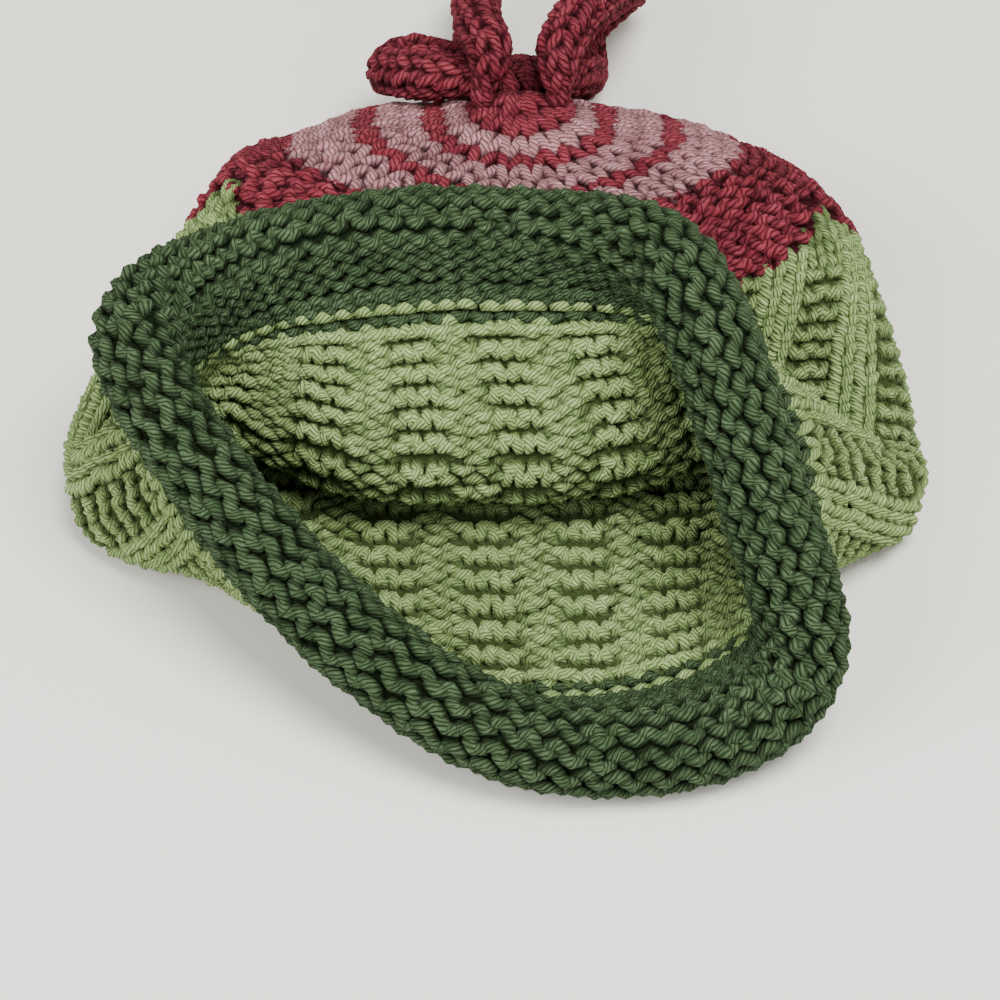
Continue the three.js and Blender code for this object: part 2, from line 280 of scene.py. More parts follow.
def on_wall(turn, along, height):
    """Point at a height above the middle surface, and the outward direction there, by bilinear lookup."""
    column = (np.asarray(turn) % 1.0) * COLUMNS
    row = np.clip(np.asarray(along) / ROW_STEP, 0, len(hat) - 1.001)
    c0, r0 = column.astype(int), row.astype(int)
    fc, fr = (column - c0)[..., None], (row - r0)[..., None]
    c0, c1 = c0 % COLUMNS, (c0 + 1) % COLUMNS

    def blend(field):
        low = field[r0, c0] * (1 - fc) + field[r0, c1] * fc
        high = field[r0 + 1, c0] * (1 - fc) + field[r0 + 1, c1] * fc
        return low * (1 - fr) + high * fr

    out = blend(hat_out)
    out = out / np.linalg.norm(out, axis=-1, keepdims=True)
    return blend(hat) + out * np.asarray(height)[..., None], out


# %% [markdown]
# ## Yarn
#
# Plied yarn is a few strands twisted together. Each piece of the hat is the same kind of yarn in another
# colour, so one node group draws the twist and the fibres from the yarn's own UV map: U runs along the yarn
# in millimetres and V once around it. It paints shade into the grooves and a highlight of pale fibres on the
# ply tops. The group gives a colour and a height, and every yarn's material adds its own shader. Modelling
# each strand would cost many times the faces for something a few pixels wide.
#
# Yarn that dives into the fabric lies in shade between the stitches. So every corner of the mesh carries
# how far it stands off the wall, and the group paints shade on the yarn that lies deep.

# %% The plied yarn group
MOTTLE_SCALE = 190.0                        # patches per metre
MOTTLE_DETAIL = 2.0
PLY_WOBBLE = 2.0                            # how far the mottling bends the plies, in plies
PLY_ROUND = 0.6                             # power of a ply's height, below one for a round top
GROOVE_SHADE_SHARE = 0.22                         # painted groove shade: share of the yarn's colour left at the bottom of a groove
GROOVE_TOP = 0.65                           # height of a ply where its painted groove shade ends
FIBRE_GRAIN = (0.9, 3.4)                    # fibres per millimetre of yarn and per ply
FIBRE_DETAIL = 3.0
FIBRE_RELIEF = 0.55                         # height of the fibres beside that of a ply
STREAK = 2.6                                # contrast of single fibres
PALE_HIGHLIGHT_SHARE = 0.42                           # share of pale fibres on top of a strand, random in tone and a painted highlight on the ply tops
CREVICE_SHADE_RANGE = (0.9, 2.5, 0.10, 1.0)         # distance off the wall from and to, share of the colour that the painted shade leaves


def plied_yarn_group():
    """Group: from UV to a colour with painted shade and a painted highlight of pale fibres, and a height for
    bump.
    """
    group = bpy.data.node_groups.new("plied yarn", "ShaderNodeTree")
    for names, kind in ((("UV", "Place"), "NodeSocketVector"),
                        (("Yarn", "Groove shade", "Halo and highlight"), "NodeSocketColor"),
                        (("Stand", "Plies", "Pitch"), "NodeSocketFloat")):
        for name in names:
            group.interface.new_socket(name, in_out="INPUT", socket_type=kind)
    group.interface.new_socket("Color", in_out="OUTPUT", socket_type="NodeSocketColor")
    group.interface.new_socket("Height", in_out="OUTPUT", socket_type="NodeSocketFloat")
    nodes, links = group.nodes, group.links
    entry, leave = nodes.new("NodeGroupInput"), nodes.new("NodeGroupOutput")

    def maths(operation, a, b=None):
        node = nodes.new("ShaderNodeMath")
        node.operation = operation
        for socket, value in zip(node.inputs, (a, b)):
            if value is None:
                continue
            if isinstance(value, (int, float)):
                socket.default_value = value
            else:
                links.new(value, socket)
        return node.outputs[0]

    split = nodes.new("ShaderNodeSeparateXYZ")
    links.new(entry.outputs["UV"], split.inputs[0])
    patch = nodes.new("ShaderNodeTexNoise")
    patch.inputs["Scale"].default_value = MOTTLE_SCALE
    patch.inputs["Detail"].default_value = MOTTLE_DETAIL
    links.new(entry.outputs["Place"], patch.inputs["Vector"])
    mottle = maths("SUBTRACT", patch.outputs["Fac"], 0.5)
    turns = maths("DIVIDE", split.outputs["X"], entry.outputs["Pitch"])
    even_twist = maths("MULTIPLY", maths("SUBTRACT", split.outputs["Y"], turns), entry.outputs["Plies"])
    twist = maths("ADD", even_twist, maths("MULTIPLY", mottle, PLY_WOBBLE))
    ply = maths("ABSOLUTE", maths("SINE", maths("MULTIPLY", twist, np.pi)))

    fibre_place = nodes.new("ShaderNodeCombineXYZ")
    links.new(maths("MULTIPLY", split.outputs["X"], FIBRE_GRAIN[0]), fibre_place.inputs["X"])
    links.new(maths("MULTIPLY", twist, FIBRE_GRAIN[1]), fibre_place.inputs["Y"])
    fibre = nodes.new("ShaderNodeTexNoise")
    fibre.inputs["Scale"].default_value = 1.0
    fibre.inputs["Detail"].default_value = FIBRE_DETAIL
    links.new(fibre_place.outputs[0], fibre.inputs["Vector"])

    # painted shade in the grooves between the plies: the yarn darkens towards the groove shade colour
    depth = nodes.new("ShaderNodeMapRange")
    depth.inputs["From Max"].default_value = GROOVE_TOP
    depth.inputs["To Min"].default_value = GROOVE_SHADE_SHARE
    links.new(ply, depth.inputs["Value"])
    groove_shaded = nodes.new("ShaderNodeMix")
    groove_shaded.data_type = "RGBA"
    links.new(depth.outputs["Result"], groove_shaded.inputs["Factor"])
    links.new(entry.outputs["Groove shade"], groove_shaded.inputs["A"])
    links.new(entry.outputs["Yarn"], groove_shaded.inputs["B"])
    # pale fibres, random in tone, laid on the ply tops as a painted highlight
    halo_and_highlight = nodes.new("ShaderNodeMix")
    halo_and_highlight.data_type = "RGBA"
    streak = maths("MULTIPLY", maths("SUBTRACT", fibre.outputs["Fac"], 0.5), STREAK)
    pale = maths("MULTIPLY", maths("ADD", maths("ADD", streak, mottle), PALE_HIGHLIGHT_SHARE), ply)
    links.new(pale, halo_and_highlight.inputs["Factor"])
    links.new(groove_shaded.outputs["Result"], halo_and_highlight.inputs["A"])
    links.new(entry.outputs["Halo and highlight"], halo_and_highlight.inputs["B"])
    # painted shade on yarn that lies deep in the fabric: the colour goes towards the groove shade colour near
    # the wall
    crevice_shade = nodes.new("ShaderNodeMapRange")
    crevice_shade.interpolation_type = "SMOOTHSTEP"
    for name, value in zip(("From Min", "From Max", "To Min", "To Max"), CREVICE_SHADE_RANGE):
        crevice_shade.inputs[name].default_value = value
    links.new(entry.outputs["Stand"], crevice_shade.inputs["Value"])
    shaded = nodes.new("ShaderNodeMix")
    shaded.data_type = "RGBA"
    links.new(crevice_shade.outputs["Result"], shaded.inputs["Factor"])
    links.new(entry.outputs["Groove shade"], shaded.inputs["A"])
    links.new(halo_and_highlight.outputs["Result"], shaded.inputs["B"])
    links.new(shaded.outputs["Result"], leave.inputs["Color"])
    fibre_height = maths("MULTIPLY", fibre.outputs["Fac"], FIBRE_RELIEF)
    links.new(maths("ADD", maths("POWER", ply, PLY_ROUND), fibre_height), leave.inputs["Height"])
    return group


YARN_GROUP = plied_yarn_group()
print("group sockets:", [item.name for item in YARN_GROUP.interface.items_tree])

# %% Yarn materials
YARNS = {
    # slot: yarn, painted shade and halo-highlight colours, linear, plies that show, millimetres of yarn in
    # one full twist
    "dark_green_yarn": ((0.022, 0.043, 0.017), (0.002, 0.005, 0.001), (0.090, 0.137, 0.072), 7, 5.0),
    "light_green_yarn": ((0.156, 0.237, 0.073), (0.018, 0.030, 0.007), (0.375, 0.495, 0.225), 7, 5.0),
    "dark_red_yarn": ((0.140, 0.014, 0.023), (0.008, 0.001, 0.002), (0.300, 0.062, 0.084), 5, 6.5),
    "pink_yarn": ((0.245, 0.100, 0.112), (0.020, 0.005, 0.007), (0.57, 0.33, 0.345), 5, 6.5),
}
YARN_FINISH = {"Roughness": 0.85, "Specular IOR Level": 0.06, "Sheen Weight": 0.15, "Sheen Roughness": 0.5}
BUMP_STRENGTH = 0.8
BUMP_DISTANCE = 0.00035                     # metres
WEB_FINISH = {"Roughness": 1.0, "Specular IOR Level": 0.1}
WEB_SCALE = 900.0                           # mottles per metre
WEB_SHADE = 0.25                            # painted shade: how dark the web between the stitches is beside the yarn


def yarn_material(slot):
    """Matt plied yarn: the group's colour and bump, with a woolly sheen set on the shader itself."""
    material = bpy.data.materials.new(slot)
    material.use_nodes = True
    nodes, links = material.node_tree.nodes, material.node_tree.links
    shader = nodes["Principled BSDF"]
    for name, value in YARN_FINISH.items():
        shader.inputs[name].default_value = value
    shader.inputs["Sheen Tint"].default_value = (*YARNS[slot][2], 1.0)
    group = nodes.new("ShaderNodeGroup")
    group.node_tree = YARN_GROUP
    uv = nodes.new("ShaderNodeUVMap")
    uv.uv_map = "yarn"
    place = nodes.new("ShaderNodeTexCoord")
    # distance off the wall, which drives the painted shade on deep yarn
    stand = nodes.new("ShaderNodeAttribute")
    stand.attribute_name = "stand"
    links.new(stand.outputs["Fac"], group.inputs["Stand"])
    links.new(uv.outputs["UV"], group.inputs["UV"])
    links.new(place.outputs["Object"], group.inputs["Place"])
    for name, colour in zip(("Yarn", "Groove shade", "Halo and highlight"), YARNS[slot]):
        group.inputs[name].default_value = (*colour, 1.0)
    group.inputs["Plies"].default_value, group.inputs["Pitch"].default_value = YARNS[slot][3:]
    bump = nodes.new("ShaderNodeBump")
    bump.inputs["Strength"].default_value = BUMP_STRENGTH
    bump.inputs["Distance"].default_value = BUMP_DISTANCE
    links.new(group.outputs["Height"], bump.inputs["Height"])
    links.new(group.outputs["Color"], shader.inputs["Base Color"])
    links.new(bump.outputs["Normal"], shader.inputs["Normal"])
    return material


def web_material(slot):
    """The sheet between the stitches in painted shade: a darker, plain mottled version of the yarn."""
    material = bpy.data.materials.new(slot + "_web")
    material.use_nodes = True
    nodes, links = material.node_tree.nodes, material.node_tree.links
    shader = nodes["Principled BSDF"]
    for name, value in WEB_FINISH.items():
        shader.inputs[name].default_value = value
    place = nodes.new("ShaderNodeTexCoord")
    noise = nodes.new("ShaderNodeTexNoise")
    noise.inputs["Scale"].default_value = WEB_SCALE
    mix = nodes.new("ShaderNodeMix")
    mix.data_type = "RGBA"
    # the web's colour is painted shade: the groove shade colour mottled with a darkened yarn colour
    yarn, groove = np.array(YARNS[slot][0]), np.array(YARNS[slot][1])
    mix.inputs["A"].default_value = (*groove, 1.0)
    mix.inputs["B"].default_value = (*(yarn * WEB_SHADE), 1.0)
    links.new(place.outputs["Object"], noise.inputs["Vector"])
    links.new(noise.outputs["Fac"], mix.inputs["Factor"])
    links.new(mix.outputs["Result"], shader.inputs["Base Color"])
    return material


yarn_materials = {slot: yarn_material(slot) for slot in YARNS}
web_materials = {slot: web_material(slot) for slot in YARNS}
print("yarns:", list(yarn_materials))

# %% [markdown]
# ## Stitches
#
# One stitch is a loop: the yarn comes along the round, climbs one leg, bends over the head and comes down the
# other leg. With an angle t that runs once round per stitch, a good loop is
#   along the round   t / 2 pi + lean * sin 2t   stitch widths,
#   up the wale       - rise * cos t             so heads reach into the next round,
#   out of the wall   - depth * cos 2t           legs in front and heads behind, which is a knit stitch.
# A purl stitch is the same loop seen from behind, so only the sign of the last line changes. Where a knit and
# a purl stitch meet, the yarn passes between them and the sign fades through zero. A power on the cosine
# shapes the loop: below one the yarn lies flat and crosses the wall quickly, above one it swells in the
# middle like a grain.

# %% Yarn paths and tubes
STEPS = 12                                  # samples along one stitch
SIDES = 6                                   # sides of the yarn
UNEVEN = 0.21                               # spread of the hand's unevenness, millimetres
UNEVEN_WIDTH = 0.063                        # the same along the round, in stitches
END_RADIUS = 0.02                           # of the point in which a run of yarn ends
CROSS_POWER = 0.6                           # below one, legs and heads lie flatter and cross the wall faster
chance = np.random.default_rng(72)


def uneven(count, spread):
    """Small unevenness along one round: a random value every half stitch, blended in between."""
    knots = chance.normal(0, spread, 2 * count)
    return np.interp(np.arange(count * STEPS) * 2 / STEPS, np.arange(2 * count + 1), np.r_[knots, knots[0]])


def loop_round(count, along, rise, depth, knit, relief=0.0, lean=0.22, bow=1.0, power=CROSS_POWER):
    """Turn, along and height of the yarn of one round of stitches.

    knit holds one sign per stitch, +1 for a knit stitch on the outside and -1 for a purl stitch. bow is the
    power of the cosine along the wale: below one, the heads and feet are flatter. power is that of the cosine
    out of the wall, for the legs alone. depth, relief, lean and power may hold one value per stitch."""
    t = np.tile(np.arange(STEPS) * 2 * np.pi / STEPS, count)
    stitch = np.repeat(np.arange(count), STEPS)
    knit = np.broadcast_to(knit, count)
    share = 0.5 + 0.5 * np.abs(np.sin(t / 2)) ** 0.5
    other = np.where(t < np.pi, knit[stitch - 1], knit[(stitch + 1) % count])
    sign = knit[stitch] * share + other * (1 - share)
    depth, relief, lean, power = (np.broadcast_to(value, count)[stitch]
                                  for value in (depth, relief, lean, power))
    turn = (stitch + t / (2 * np.pi) + lean * np.sin(2 * t) + uneven(count, UNEVEN_WIDTH)) / count
    power = np.where(np.cos(2 * t) < 0, power, CROSS_POWER)
    cross = np.sign(np.cos(2 * t)) * np.abs(np.cos(2 * t)) ** power
    height = -sign * depth * cross + relief + uneven(count, UNEVEN)
    climb = np.sign(np.cos(t)) * np.abs(np.cos(t)) ** bow
    return turn, along + rise * climb + uneven(count, UNEVEN), height


def tube_mesh(centre, out, height, radius, keep=None):
    """Tube along a closed path (samples x 3): corners, faces, UV and how far each corner stands off the wall.

    Corner = centre + radius * (cos * side + sin * up), where side = tangent x out and up = side x tangent.
    keep marks the samples that have yarn; a run of them ends in a point, so that the tube stays closed."""
    ahead = np.roll(centre, -1, 0) - np.roll(centre, 1, 0)
    ahead = ahead / np.linalg.norm(ahead, axis=1, keepdims=True)
    side = np.cross(ahead, out)
    side = side / np.linalg.norm(side, axis=1, keepdims=True)
    up = np.cross(side, ahead)
    angle = np.arange(SIDES)[:, None] * 2 * np.pi / SIDES
    spoke = np.cos(angle) * side[:, None, :] + np.sin(angle) * up[:, None, :]
    keep = np.ones(len(centre), bool) if keep is None else keep
    ends = keep & ~(np.roll(keep, 1) & np.roll(keep, -1))
    spoke = np.where(ends, END_RADIUS, radius)[:, None, None] * spoke
    corners = centre[:, None, :] + spoke
    stand = np.abs(height[:, None] + np.einsum("ijk,ik->ij", spoke, out))
    index = np.arange(len(centre) * SIDES).reshape(len(centre), SIDES)
    after = np.roll(index, -1, 0)
    faces = np.stack([index, after, np.roll(after, -1, 1), np.roll(index, -1, 1)], -1)
    step = np.linalg.norm(np.roll(centre, -1, 0) - centre, axis=1)
    start = np.cumsum(step) - step
    u = np.stack([start, start + step, start + step, start], -1)[:, None, :]
    v = (np.arange(SIDES)[:, None] + np.array([0, 0, 1, 1])) / SIDES
    uv = np.stack(np.broadcast_arrays(u, v[None]), -1)
    laid = keep & np.roll(keep, -1)
    used, faces = np.unique(faces[laid], return_inverse=True)
    return corners.reshape(-1, 3)[used], faces.reshape(-1, 4), uv[laid], stand.ravel()[used]


pieces = []


def add_piece(name, slot, nodes, parts):
    """One mesh object from parts of (corners, faces, uv, stand, material index), riding on the hat."""
    corners = np.concatenate([part[0] for part in parts]) * MM
    starts = np.cumsum([0] + [len(part[0]) for part in parts[:-1]])
    loops = np.concatenate([part[1].ravel() + start for part, start in zip(parts, starts)])
    counts = [part[1].size // part[1].shape[-1] for part in parts]
    sizes = np.repeat([part[1].shape[-1] for part in parts], counts)
    kind = np.repeat([part[4] for part in parts], counts)
    uv = np.concatenate([part[2].reshape(-1, 2) for part in parts])
    stand = np.concatenate([part[3] for part in parts])
    mesh = bpy.data.meshes.new(name)
    mesh.vertices.add(len(corners))
    mesh.vertices.foreach_set("co", corners.astype(np.float32).ravel())
    mesh.loops.add(len(loops))
    mesh.loops.foreach_set("vertex_index", loops.astype(np.int32))
    mesh.polygons.add(len(sizes))
    mesh.polygons.foreach_set("loop_start", (np.cumsum(sizes) - sizes).astype(np.int32))
    mesh.polygons.foreach_set("material_index", kind.astype(np.int32))
    mesh.uv_layers.new(name="yarn").data.foreach_set("uv", uv.astype(np.float32).ravel())
    mesh.attributes.new("stand", "FLOAT", "POINT").data.foreach_set("value", stand.astype(np.float32))
    mesh.update(calc_edges=True)
    mesh.shade_smooth()
    mesh.materials.append(yarn_materials[slot])
    mesh.materials.append(web_materials[slot])
    piece = bpy.data.objects.new(name, mesh)
    bpy.context.collection.objects.link(piece)
    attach(piece, "root")
    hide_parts(*nodes)
    pieces.append((piece, slot, nodes))
    print(name, "triangles", int((sizes - 2).sum()))


# %% [markdown]
# Between the loops of real knitting one sees the shaded inside of the fabric. A thin closed sheet in the
# middle of the wall stands for it, coloured in painted shade, so that no light falls through the stitches.

# %% The web between stitches
WEB_HALF = 0.5                              # half its thickness, millimetres
WEB_COLUMNS = 96
WEB_ROWS = 40


def web(start, end, steps):
    """Closed thin ring of wall between two places along the knitting: outside, edge, inside, edge."""
    along = np.linspace(start, end, steps + 1)
    along = np.r_[along, along[::-1]]
    height = np.r_[np.full(steps + 1, WEB_HALF), np.full(steps + 1, -WEB_HALF)]
    turn = np.arange(WEB_COLUMNS) / WEB_COLUMNS
    shape = (len(along), WEB_COLUMNS)
    corners, _ = on_wall(np.broadcast_to(turn, shape), np.broadcast_to(along[:, None], shape),
                         np.broadcast_to(height[:, None], shape))
    index = np.arange(corners.size // 3).reshape(shape)
    ahead, beside = np.roll(index, -1, 0), np.roll(index, -1, 1)
    faces = np.stack([index, beside, np.roll(ahead, -1, 1), ahead], -1)
    return corners.reshape(-1, 3), faces, np.zeros(faces.shape + (2,)), np.zeros(index.size), 1


def knit_rounds(rounds, radius):
    """Tubes for rounds of stitches: the keyword values of loop_round, and which stitches have this yarn.

    Yarn that would sink into the table is pressed up, so that its axis lies at least one radius above it."""
    parts = []
    for values, mine in rounds:
        turn, along, height = loop_round(**values)
        centre, out = on_wall(turn, along, height)
        centre[:, 2] = np.maximum(centre[:, 2], radius)
        keep = np.repeat(np.broadcast_to(mine, values["count"]), STEPS)
        keep = keep | np.roll(keep, 1)
        parts.append((*tube_mesh(centre, out, height, radius, keep), 0))
    return parts


# %% [markdown]
# ## The brim
#
# Six rounds stand inside the mouth and eight more curl outwards. It is stockinette with the purl side towards
# the inside of the hat, so the roll shows rows of little purl bumps. The roll stretches the stitches open,
# and the yarn swells there. The first round hangs in a light green one: it dives deep behind it, and the
# second round is short, so that the light heads show as a row of dashes.

# %% Brim
STITCHES = 72                               # round the hat
BRIM_START = 178.0
BRIM_ROW = 3.67                             # height of one round
BRIM_ROUNDS = 14
ROLL_FROM = 6                               # first round of the roll
BRIM_YARN = 1.15                            # radius
ROLL_YARN = 1.48                            # looser where the roll stretches
brim_rows = BRIM_START + BRIM_ROW * (np.arange(BRIM_ROUNDS) + 0.5)
brim_rounds = [dict(count=STITCHES, along=row, rise=0.76 * BRIM_ROW, depth=1.35, knit=1, lean=0.18)
               for row in brim_rows]
brim_rounds[0].update(rise=BRIM_ROW, depth=1.6, lean=0.25)
brim_rounds[1].update(rise=0.55 * BRIM_ROW)
add_piece("brim_knit", "dark_green_yarn", ["brim"],
          knit_rounds([(values, True) for values in brim_rounds[:ROLL_FROM]], BRIM_YARN)
          + knit_rounds([(values, True) for values in brim_rounds[ROLL_FROM:]], ROLL_YARN)
          + [web(BRIM_START, HAT_END - ROW_STEP, WEB_ROWS)])

# %% [markdown]
# ## The body
#
# Garter rib: two stitches that are always knit make a cord, and the next two are knit on one round and purled
# on the next, which makes ridges between the cords. The knit cords stand a little higher on the outside, and
# their legs lean apart and swell in the middle. The round by the brim is plain and long, and the one before
# it is short, which leaves room for the dark green heads between the two.

# %% Body
BODY_START = 66.0
BODY_ROUNDS = 37
BODY_ROW = (BRIM_START - BODY_START) / BODY_ROUNDS
BODY_YARN = 1.25
RIB = 4                                     # stitches in one repeat
RIB_RELIEF = 0.28
cord = np.arange(STITCHES) % RIB < 2


def body_round(number):
    """Values of one body round, counted from the crown. The round next to the brim is plain."""
    plain = number == BODY_ROUNDS - 1
    ridge = number % 2 == 1 and not plain
    return dict(count=STITCHES, along=BODY_START + BODY_ROW * (number + 0.5),
                rise=(1.2 if plain else 0.82) * BODY_ROW, depth=1.7 if plain else np.where(cord, 1.5, 1.4),
                knit=np.where(cord | (not ridge), 1, -1), lean=0.26 if plain else np.where(cord, 0.24, 0.18),
                bow=0.5 if plain else 1.0, power=CROSS_POWER if plain else np.where(cord, 1.2, CROSS_POWER),
                relief=0.0 if plain else np.where(cord, RIB_RELIEF, -RIB_RELIEF))


# %% [markdown]
# The dark red band of the crown ends in eight points that reach down into the body. In knitting this is done
# with two yarns in one round: each stitch takes one of the two colours. So each round near the zigzag is laid
# twice, once for each yarn, and only the stitches on that yarn's side of the line are kept.

# %% Zigzag between body and band
ZIGZAG_POINTS = 8
ZIGZAG_DEPTH = 12.0
BAND_START = 44.0
BAND_ROUNDS = 6
BAND_ROW = (BODY_START - BAND_START) / BAND_ROUNDS
BAND_STITCHES = (72, 72, 64, 64, 56, 56)    # from the body to the crown


def is_red(values):
    """Which stitches of a round lie on the crown's side of a triangle wave round the hat."""
    turn = ZIGZAG_POINTS * (np.arange(values["count"]) + 0.5) / values["count"]
    line = BODY_START + ZIGZAG_DEPTH * (0.5 - 2 * np.abs(turn - np.round(turn)))
    return values["along"] < line


def band_round(number):
    """Values of one band round, counted from the body: purl side out. The last one reaches less far."""
    last = number == BAND_ROUNDS - 1
    return dict(count=BAND_STITCHES[number], along=BODY_START - BAND_ROW * (number + (0.3 if last else 0.5)),
                rise=(0.65 if last else 0.8) * BAND_ROW, depth=1.0, knit=-1)


body_rounds = [body_round(i) for i in range(BODY_ROUNDS)]
body_rounds[-2].update(rise=0.6 * BODY_ROW)
band_rounds = [band_round(i) for i in range(BAND_ROUNDS)]
MIXED = 3                                   # rounds on either side of the line that can hold both yarns
for values in body_rounds[:MIXED] + band_rounds[:MIXED]:
    values["knit"] = np.where(is_red(values), -1, np.abs(values["knit"]))
print("red stitches in the mixed rounds:",
      [int(is_red(values).sum()) for values in body_rounds[:MIXED] + band_rounds[:MIXED]])

# %% Body pieces
BODY_PIECES = [("body_by_crown", 0, 12), ("body_middle", 12, 25), ("body_by_brim", 25, BODY_ROUNDS)]
for name, first, last in BODY_PIECES:
    start, end = BODY_START + BODY_ROW * first, BODY_START + BODY_ROW * last
    rounds = body_rounds[first:last] + (band_rounds[:MIXED] if first == 0 else [])
    green_rounds = [(values, ~is_red(values)) for values in rounds if not is_red(values).all()]
    add_piece(name, "light_green_yarn", ["body"],
              knit_rounds(green_rounds, BODY_YARN) + [web(start, end, WEB_ROWS)])

# %% [markdown]
# ## The crown
#
# The band is dark red with its purl side out, and the crown above it is pink stockinette with two single dark
# red rounds. Eight decrease lines take stitches away, so each round has a multiple of eight stitches. The
# single rounds reach a little further, because each of their stitches hangs in a stitch of the other colour.

# %% Crown
BAND_YARN = 1.35
red_rounds = [(values, is_red(values)) for values in body_rounds[:MIXED] + band_rounds
              if is_red(values).any()]
add_piece("crown_band_knit", "dark_red_yarn", ["crown_band"],
          knit_rounds(red_rounds, BAND_YARN) + [web(BAND_START, BODY_START, WEB_ROWS // 2)])

SECTORS = 8
CROWN_YARN = 1.45
CROWN_PIECES = [
    # name, node, slot, start, end, stitches in a sector for each round inwards, reach of the loops
    ("crown_outer_knit", "crown_outer", "pink_yarn", 32.6, 44.0, (6, 6, 5), 0.9),
    ("ring_outer_knit", "ring_outer", "dark_red_yarn", 29.4, 32.6, (5,), 1.2),
    ("crown_middle_knit", "crown_middle", "pink_yarn", 19.6, 29.4, (4, 4), 0.8),
    ("ring_inner_knit", "ring_inner", "dark_red_yarn", 16.4, 19.6, (3,), 1.2),
    ("crown_inner_knit", "crown_inner", "pink_yarn", 11.0, 16.4, (3,), 0.75),
    ("crown_tip_knit", "crown_tip", "dark_red_yarn", 1.0, 11.0, (2, 1), 0.8),
]
for name, node, slot, start, end, counts, reach in CROWN_PIECES:
    row = (end - start) / len(counts)
    rounds = [dict(count=SECTORS * count, along=end - row * (i + 0.5), rise=reach * row, depth=0.95, knit=1,
                   lean=0.25) for i, count in enumerate(counts)]
    add_piece(name, slot, [node], knit_rounds([(values, True) for values in rounds], CROWN_YARN)
              + [web(start, end, int(end - start))])

# %% [markdown]
# ## The loops on the crown
#
# Each loop is a knitted cord, a tube only a few stitches round. The cord follows a smooth curve through
# given points, and the rounds of stitches are laid on that tube as they were on the hat.

# %% Loops
CORD_RADIUS = 5.5
CORD_FOOT_RADIUS = 2.5
CORD_TAPER = 14.0                           # length over which a foot grows to the full radius
CORD_STITCHES = 4                           # round the cord
CORD_ROW = 3.3
CORD_YARN = 1.5
CORD_SINK = 0.7                             # how far the yarn's outside lies inside the cord's radius
CORD_SAMPLES = 400
CURVE_STEPS = 40                            # between two points of the axis
CORE_SIDES = 12
CORE_DEPTH = 1.2                            # of the core's surface below the axis of the yarn
FOOT_ALONG = 7.0                            # millimetres of knitting from the tip to a foot
FOOT_RISE = 2.0
FOOT_COLUMNS = 48
LOOPS = [
    # name, columns of the two feet round the tip, points of the cord's axis
    ("loop_left", (39, 45), [
        (-11, 91, 30), (-16.5, 94.5, 28), (-20.5, 98, 25.2), (-24, 103, 21.8),
        (-20, 109, 20), (-14.5, 108, 20), (-9.5, 104.5, 21.5), (-4.5, 99.5, 24.5)]),
    ("loop_middle", (33, 3), [
        (-2, 88.5, 39), (-4, 96, 39.5), (-5, 105.5, 36), (-5, 117, 31), (-5, 129, 23.5),
        (-5, 141.4, 13.3), (-5.5, 134.5, 6.2), (-5, 122, 6.4), (-1, 113, 10), (5.2, 106, 17)]),
    ("loop_right", (15, 9), [
        (12, 88.5, 38), (14, 95.5, 39), (17.5, 104, 37), (22, 115, 31.5), (27, 128, 24),
        (28, 141, 12), (19.5, 135, 6.2), (19, 122, 6.4), (18, 112, 12), (17, 104, 21)]),
]


def open_curve(points, samples):
    """Centripetal Catmull-Rom curve through the points, sampled evenly by length: places and whole length."""
    points = np.array(points, float)
    points = np.vstack([2 * points[0] - points[1], points, 2 * points[-1] - points[-2]])
    gap = np.linalg.norm(np.diff(points, axis=0), axis=1) ** 0.5
    dense = []
    for i in range(1, len(points) - 2):
        d0, d1, d2 = gap[i - 1:i + 2]
        t = np.linspace(0, 1, CURVE_STEPS, endpoint=False)[:, None]
        first = points[i + 1] - points[i] + d1 * ((points[i] - points[i - 1]) / d0
                                                  - (points[i + 1] - points[i - 1]) / (d0 + d1))
        last = points[i + 1] - points[i] + d1 * ((points[i + 2] - points[i + 1]) / d2
                                                 - (points[i + 2] - points[i]) / (d1 + d2))
        dense.append((2 * t**3 - 3 * t**2 + 1) * points[i] + (t**3 - 2 * t**2 + t) * first
                     + (3 * t**2 - 2 * t**3) * points[i + 1] + (t**3 - t**2) * last)
    dense = np.vstack(dense + [points[-2:-1]])
    length = np.r_[0, np.cumsum(np.linalg.norm(np.diff(dense, axis=0), axis=1))]
    wanted = np.linspace(0, length[-1], samples)
    return np.stack([np.interp(wanted, length, dense[:, axis]) for axis in range(3)], -1), length[-1]


def cord_frames(axis):
    """Two directions across the cord at every sample, carried along without twisting."""
    ahead = np.gradient(axis, axis=0)
    ahead = ahead / np.linalg.norm(ahead, axis=1, keepdims=True)
    across = np.empty_like(ahead)
    across[0] = np.cross(ahead[0], (0.0, 0.0, 1.0))
    for i in range(1, len(axis)):
        across[i] = across[i - 1] - ahead[i] * np.dot(across[i - 1], ahead[i])
        across[i] /= np.linalg.norm(across[i])
    across[0] /= np.linalg.norm(across[0])
    return across, np.cross(ahead, across)


